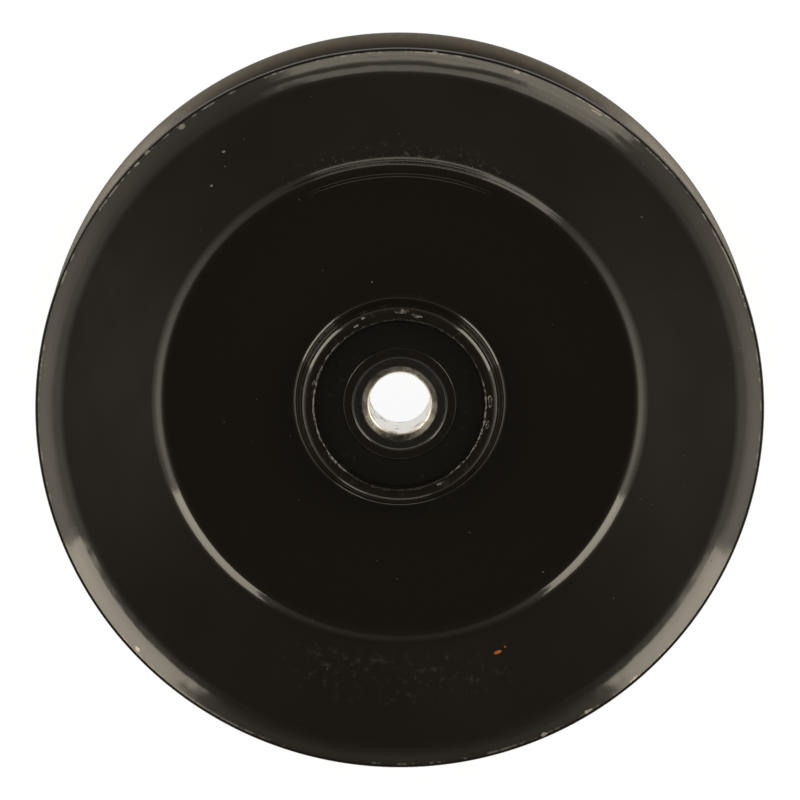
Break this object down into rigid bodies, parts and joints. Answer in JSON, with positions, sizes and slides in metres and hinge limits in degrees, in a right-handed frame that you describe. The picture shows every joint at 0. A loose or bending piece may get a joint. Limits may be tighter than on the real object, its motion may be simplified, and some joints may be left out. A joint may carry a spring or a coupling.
{
  "type": "wire rope sheave",
  "caption": "Grooved pulley of two dished black-painted steel stampings around a captured, sealed ball bearing with a plain steel bore sleeve.",
  "frame": {"origin": "on the sheave's axis, in the plane that the far rim rests on", "axes": "+Z along the axis, from the far flange to the near flange, where the sheave lies on its far rim; X and Y across it"},
  "size_m": [0.2, 0.2, 0.039],
  "materials": {
    "flange_paint": "gloss black enamel, chipped along the rim",
    "bearing_steel": "ground steel, ends overpainted black",
    "ball_steel": "polished",
    "cage_steel": "pressed strip",
    "seal_rubber": "black, overpainted",
    "sleeve_steel": "turned, bare in the bore"
  },
  "bodies": {
    "sheave": {"near_flange": "flange_paint", "far_flange": "flange_paint", "bearing_outer_ring": "bearing_steel", "seal_near": "seal_rubber", "seal_far": "seal_rubber"},
    "inner": {"bearing_inner_ring": "bearing_steel", "bore_sleeve": "sleeve_steel"},
    "cage": {"cage_near": "cage_steel", "cage_far": "cage_steel", "cage_rivets": "cage_steel", "ball_1": "ball_steel", "ball_2": "ball_steel", "ball_3": "ball_steel", "ball_4": "ball_steel", "ball_5": "ball_steel", "ball_6": "ball_steel", "ball_7": "ball_steel", "ball_8": "ball_steel", "ball_9": "ball_steel"}
  },
  "joints": [
    {"name": "inner_spin", "type": "hinge", "parent": "sheave", "child": "inner", "pos_m": [0, 0, 0.0195], "axis": [0, 0, 1], "continuous": true},
    {"name": "cage_spin", "type": "hinge", "parent": "sheave", "child": "cage", "pos_m": [0, 0, 0.0195], "axis": [0, 0, 1], "continuous": true}
  ],
  "couplings": [
    {"joint": "cage_spin", "follows": "inner_spin", "ratio": 0.3969}
  ]
}
